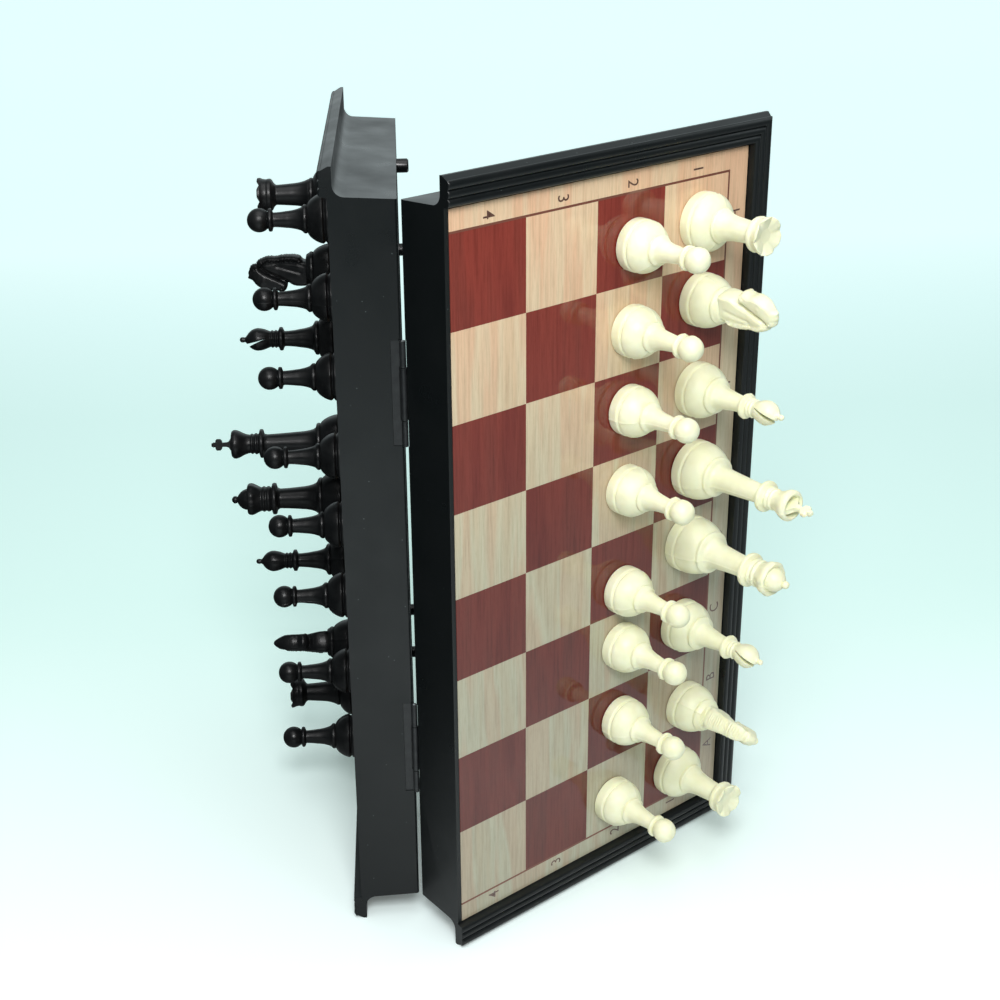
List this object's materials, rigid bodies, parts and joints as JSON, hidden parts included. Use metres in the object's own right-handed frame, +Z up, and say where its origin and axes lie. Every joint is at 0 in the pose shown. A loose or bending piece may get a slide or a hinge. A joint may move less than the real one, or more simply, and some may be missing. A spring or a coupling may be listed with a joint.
{
  "type": "folding travel chess set",
  "caption": "Folding magnetic chess set stood on end in a V: two hinged tray halves with board faces outside and men held on them by magnets.",
  "frame": {"origin": "middle of the footprint, on the surface the set stands on", "axes": "+Z up along the hinge, from file a to file h; +Y towards the open side of the V; +X towards white's half"},
  "size_m": [0.2728, 0.1494, 0.3208],
  "materials": {
    "case_plastic": "moulded, satin, faint scratches",
    "printed_sheet": "printed wood squares under a gloss film",
    "sheet_steel": "bare sheet",
    "leaf_metal": "black, satin",
    "pin_steel": "bare wire",
    "ivory_plastic": "moulded, satin, cream",
    "black_plastic": "moulded, satin"
  },
  "bodies": {
    "white_side": {"white_half_case": "case_plastic", "white_half_steel_sheet": "sheet_steel", "white_half_board_print": "printed_sheet", "lower_hinge_white_leaf": "leaf_metal", "upper_hinge_white_leaf": "leaf_metal"},
    "black_side": {"black_half_case": "case_plastic", "black_half_steel_sheet": "sheet_steel", "black_half_board_print": "printed_sheet", "lower_hinge_black_leaf": "leaf_metal", "upper_hinge_black_leaf": "leaf_metal", "lower_hinge_pin": "pin_steel", "upper_hinge_pin": "pin_steel"},
    "white_rook_a": {"white_rook_a": "ivory_plastic"},
    "white_knight_b": {"white_knight_b": "ivory_plastic"},
    "white_bishop_c": {"white_bishop_c": "ivory_plastic"},
    "white_queen": {"white_queen": "ivory_plastic"},
    "white_king": {"white_king": "ivory_plastic"},
    "white_bishop_f": {"white_bishop_f": "ivory_plastic"},
    "white_knight_g": {"white_knight_g": "ivory_plastic"},
    "white_rook_h": {"white_rook_h": "ivory_plastic"},
    "white_pawn_a": {"white_pawn_a": "ivory_plastic"},
    "white_pawn_b": {"white_pawn_b": "ivory_plastic"},
    "white_pawn_c": {"white_pawn_c": "ivory_plastic"},
    "white_pawn_d": {"white_pawn_d": "ivory_plastic"},
    "white_pawn_e": {"white_pawn_e": "ivory_plastic"},
    "white_pawn_f": {"white_pawn_f": "ivory_plastic"},
    "white_pawn_g": {"white_pawn_g": "ivory_plastic"},
    "white_pawn_h": {"white_pawn_h": "ivory_plastic"},
    "black_rook_a": {"black_rook_a": "black_plastic"},
    "black_knight_b": {"black_knight_b": "black_plastic"},
    "black_bishop_c": {"black_bishop_c": "black_plastic"},
    "black_queen": {"black_queen": "black_plastic"},
    "black_king": {"black_king": "black_plastic"},
    "black_bishop_f": {"black_bishop_f": "black_plastic"},
    "black_knight_g": {"black_knight_g": "black_plastic"},
    "black_rook_h": {"black_rook_h": "black_plastic"},
    "black_pawn_a": {"black_pawn_a": "black_plastic"},
    "black_pawn_b": {"black_pawn_b": "black_plastic"},
    "black_pawn_c": {"black_pawn_c": "black_plastic"},
    "black_pawn_d": {"black_pawn_d": "black_plastic"},
    "black_pawn_e": {"black_pawn_e": "black_plastic"},
    "black_pawn_f": {"black_pawn_f": "black_plastic"},
    "black_pawn_g": {"black_pawn_g": "black_plastic"},
    "black_pawn_h": {"black_pawn_h": "black_plastic"}
  },
  "joints": [
    {"name": "board_hinge", "type": "hinge", "parent": "white_side", "child": "black_side", "pos_m": [0, -0.06271, 0.1604], "axis": [0, 0, 1], "range_deg": [-53, 127]},
    {"name": "white_rook_a_lift", "type": "slide", "parent": "white_side", "child": "white_rook_a", "axis": [0.8949, -0.4462, 0], "range_m": [0, 0.06]},
    {"name": "white_knight_b_lift", "type": "slide", "parent": "white_side", "child": "white_knight_b", "axis": [0.8949, -0.4462, 0], "range_m": [0, 0.06]},
    {"name": "white_bishop_c_lift", "type": "slide", "parent": "white_side", "child": "white_bishop_c", "axis": [0.8949, -0.4462, 0], "range_m": [0, 0.06]},
    {"name": "white_queen_lift", "type": "slide", "parent": "white_side", "child": "white_queen", "axis": [0.8949, -0.4462, 0], "range_m": [0, 0.06]},
    {"name": "white_king_lift", "type": "slide", "parent": "white_side", "child": "white_king", "axis": [0.8949, -0.4462, 0], "range_m": [0, 0.06]},
    {"name": "white_bishop_f_lift", "type": "slide", "parent": "white_side", "child": "white_bishop_f", "axis": [0.8949, -0.4462, 0], "range_m": [0, 0.06]},
    {"name": "white_knight_g_lift", "type": "slide", "parent": "white_side", "child": "white_knight_g", "axis": [0.8949, -0.4462, 0], "range_m": [0, 0.06]},
    {"name": "white_rook_h_lift", "type": "slide", "parent": "white_side", "child": "white_rook_h", "axis": [0.8949, -0.4462, 0], "range_m": [0, 0.06]},
    {"name": "white_pawn_a_lift", "type": "slide", "parent": "white_side", "child": "white_pawn_a", "axis": [0.8949, -0.4462, 0], "range_m": [0, 0.06]},
    {"name": "white_pawn_b_lift", "type": "slide", "parent": "white_side", "child": "white_pawn_b", "axis": [0.8949, -0.4462, 0], "range_m": [0, 0.06]},
    {"name": "white_pawn_c_lift", "type": "slide", "parent": "white_side", "child": "white_pawn_c", "axis": [0.8949, -0.4462, 0], "range_m": [0, 0.06]},
    {"name": "white_pawn_d_lift", "type": "slide", "parent": "white_side", "child": "white_pawn_d", "axis": [0.8949, -0.4462, 0], "range_m": [0, 0.06]},
    {"name": "white_pawn_e_lift", "type": "slide", "parent": "white_side", "child": "white_pawn_e", "axis": [0.8949, -0.4462, 0], "range_m": [0, 0.06]},
    {"name": "white_pawn_f_lift", "type": "slide", "parent": "white_side", "child": "white_pawn_f", "axis": [0.8949, -0.4462, 0], "range_m": [0, 0.06]},
    {"name": "white_pawn_g_lift", "type": "slide", "parent": "white_side", "child": "white_pawn_g", "axis": [0.8949, -0.4462, 0], "range_m": [0, 0.06]},
    {"name": "white_pawn_h_lift", "type": "slide", "parent": "white_side", "child": "white_pawn_h", "axis": [0.8949, -0.4462, 0], "range_m": [0, 0.06]},
    {"name": "black_rook_a_lift", "type": "slide", "parent": "black_side", "child": "black_rook_a", "axis": [-0.8949, -0.4462, 0], "range_m": [0, 0.06]},
    {"name": "black_knight_b_lift", "type": "slide", "parent": "black_side", "child": "black_knight_b", "axis": [-0.8949, -0.4462, 0], "range_m": [0, 0.06]},
    {"name": "black_bishop_c_lift", "type": "slide", "parent": "black_side", "child": "black_bishop_c", "axis": [-0.8949, -0.4462, 0], "range_m": [0, 0.06]},
    {"name": "black_queen_lift", "type": "slide", "parent": "black_side", "child": "black_queen", "axis": [-0.8949, -0.4462, 0], "range_m": [0, 0.06]},
    {"name": "black_king_lift", "type": "slide", "parent": "black_side", "child": "black_king", "axis": [-0.8949, -0.4462, 0], "range_m": [0, 0.06]},
    {"name": "black_bishop_f_lift", "type": "slide", "parent": "black_side", "child": "black_bishop_f", "axis": [-0.8949, -0.4462, 0], "range_m": [0, 0.06]},
    {"name": "black_knight_g_lift", "type": "slide", "parent": "black_side", "child": "black_knight_g", "axis": [-0.8949, -0.4462, 0], "range_m": [0, 0.06]},
    {"name": "black_rook_h_lift", "type": "slide", "parent": "black_side", "child": "black_rook_h", "axis": [-0.8949, -0.4462, 0], "range_m": [0, 0.06]},
    {"name": "black_pawn_a_lift", "type": "slide", "parent": "black_side", "child": "black_pawn_a", "axis": [-0.8949, -0.4462, 0], "range_m": [0, 0.06]},
    {"name": "black_pawn_b_lift", "type": "slide", "parent": "black_side", "child": "black_pawn_b", "axis": [-0.8949, -0.4462, 0], "range_m": [0, 0.06]},
    {"name": "black_pawn_c_lift", "type": "slide", "parent": "black_side", "child": "black_pawn_c", "axis": [-0.8949, -0.4462, 0], "range_m": [0, 0.06]},
    {"name": "black_pawn_d_lift", "type": "slide", "parent": "black_side", "child": "black_pawn_d", "axis": [-0.8949, -0.4462, 0], "range_m": [0, 0.06]},
    {"name": "black_pawn_e_lift", "type": "slide", "parent": "black_side", "child": "black_pawn_e", "axis": [-0.8949, -0.4462, 0], "range_m": [0, 0.06]},
    {"name": "black_pawn_f_lift", "type": "slide", "parent": "black_side", "child": "black_pawn_f", "axis": [-0.8949, -0.4462, 0], "range_m": [0, 0.06]},
    {"name": "black_pawn_g_lift", "type": "slide", "parent": "black_side", "child": "black_pawn_g", "axis": [-0.8949, -0.4462, 0], "range_m": [0, 0.06]},
    {"name": "black_pawn_h_lift", "type": "slide", "parent": "black_side", "child": "black_pawn_h", "axis": [-0.8949, -0.4462, 0], "range_m": [0, 0.06]}
  ]
}
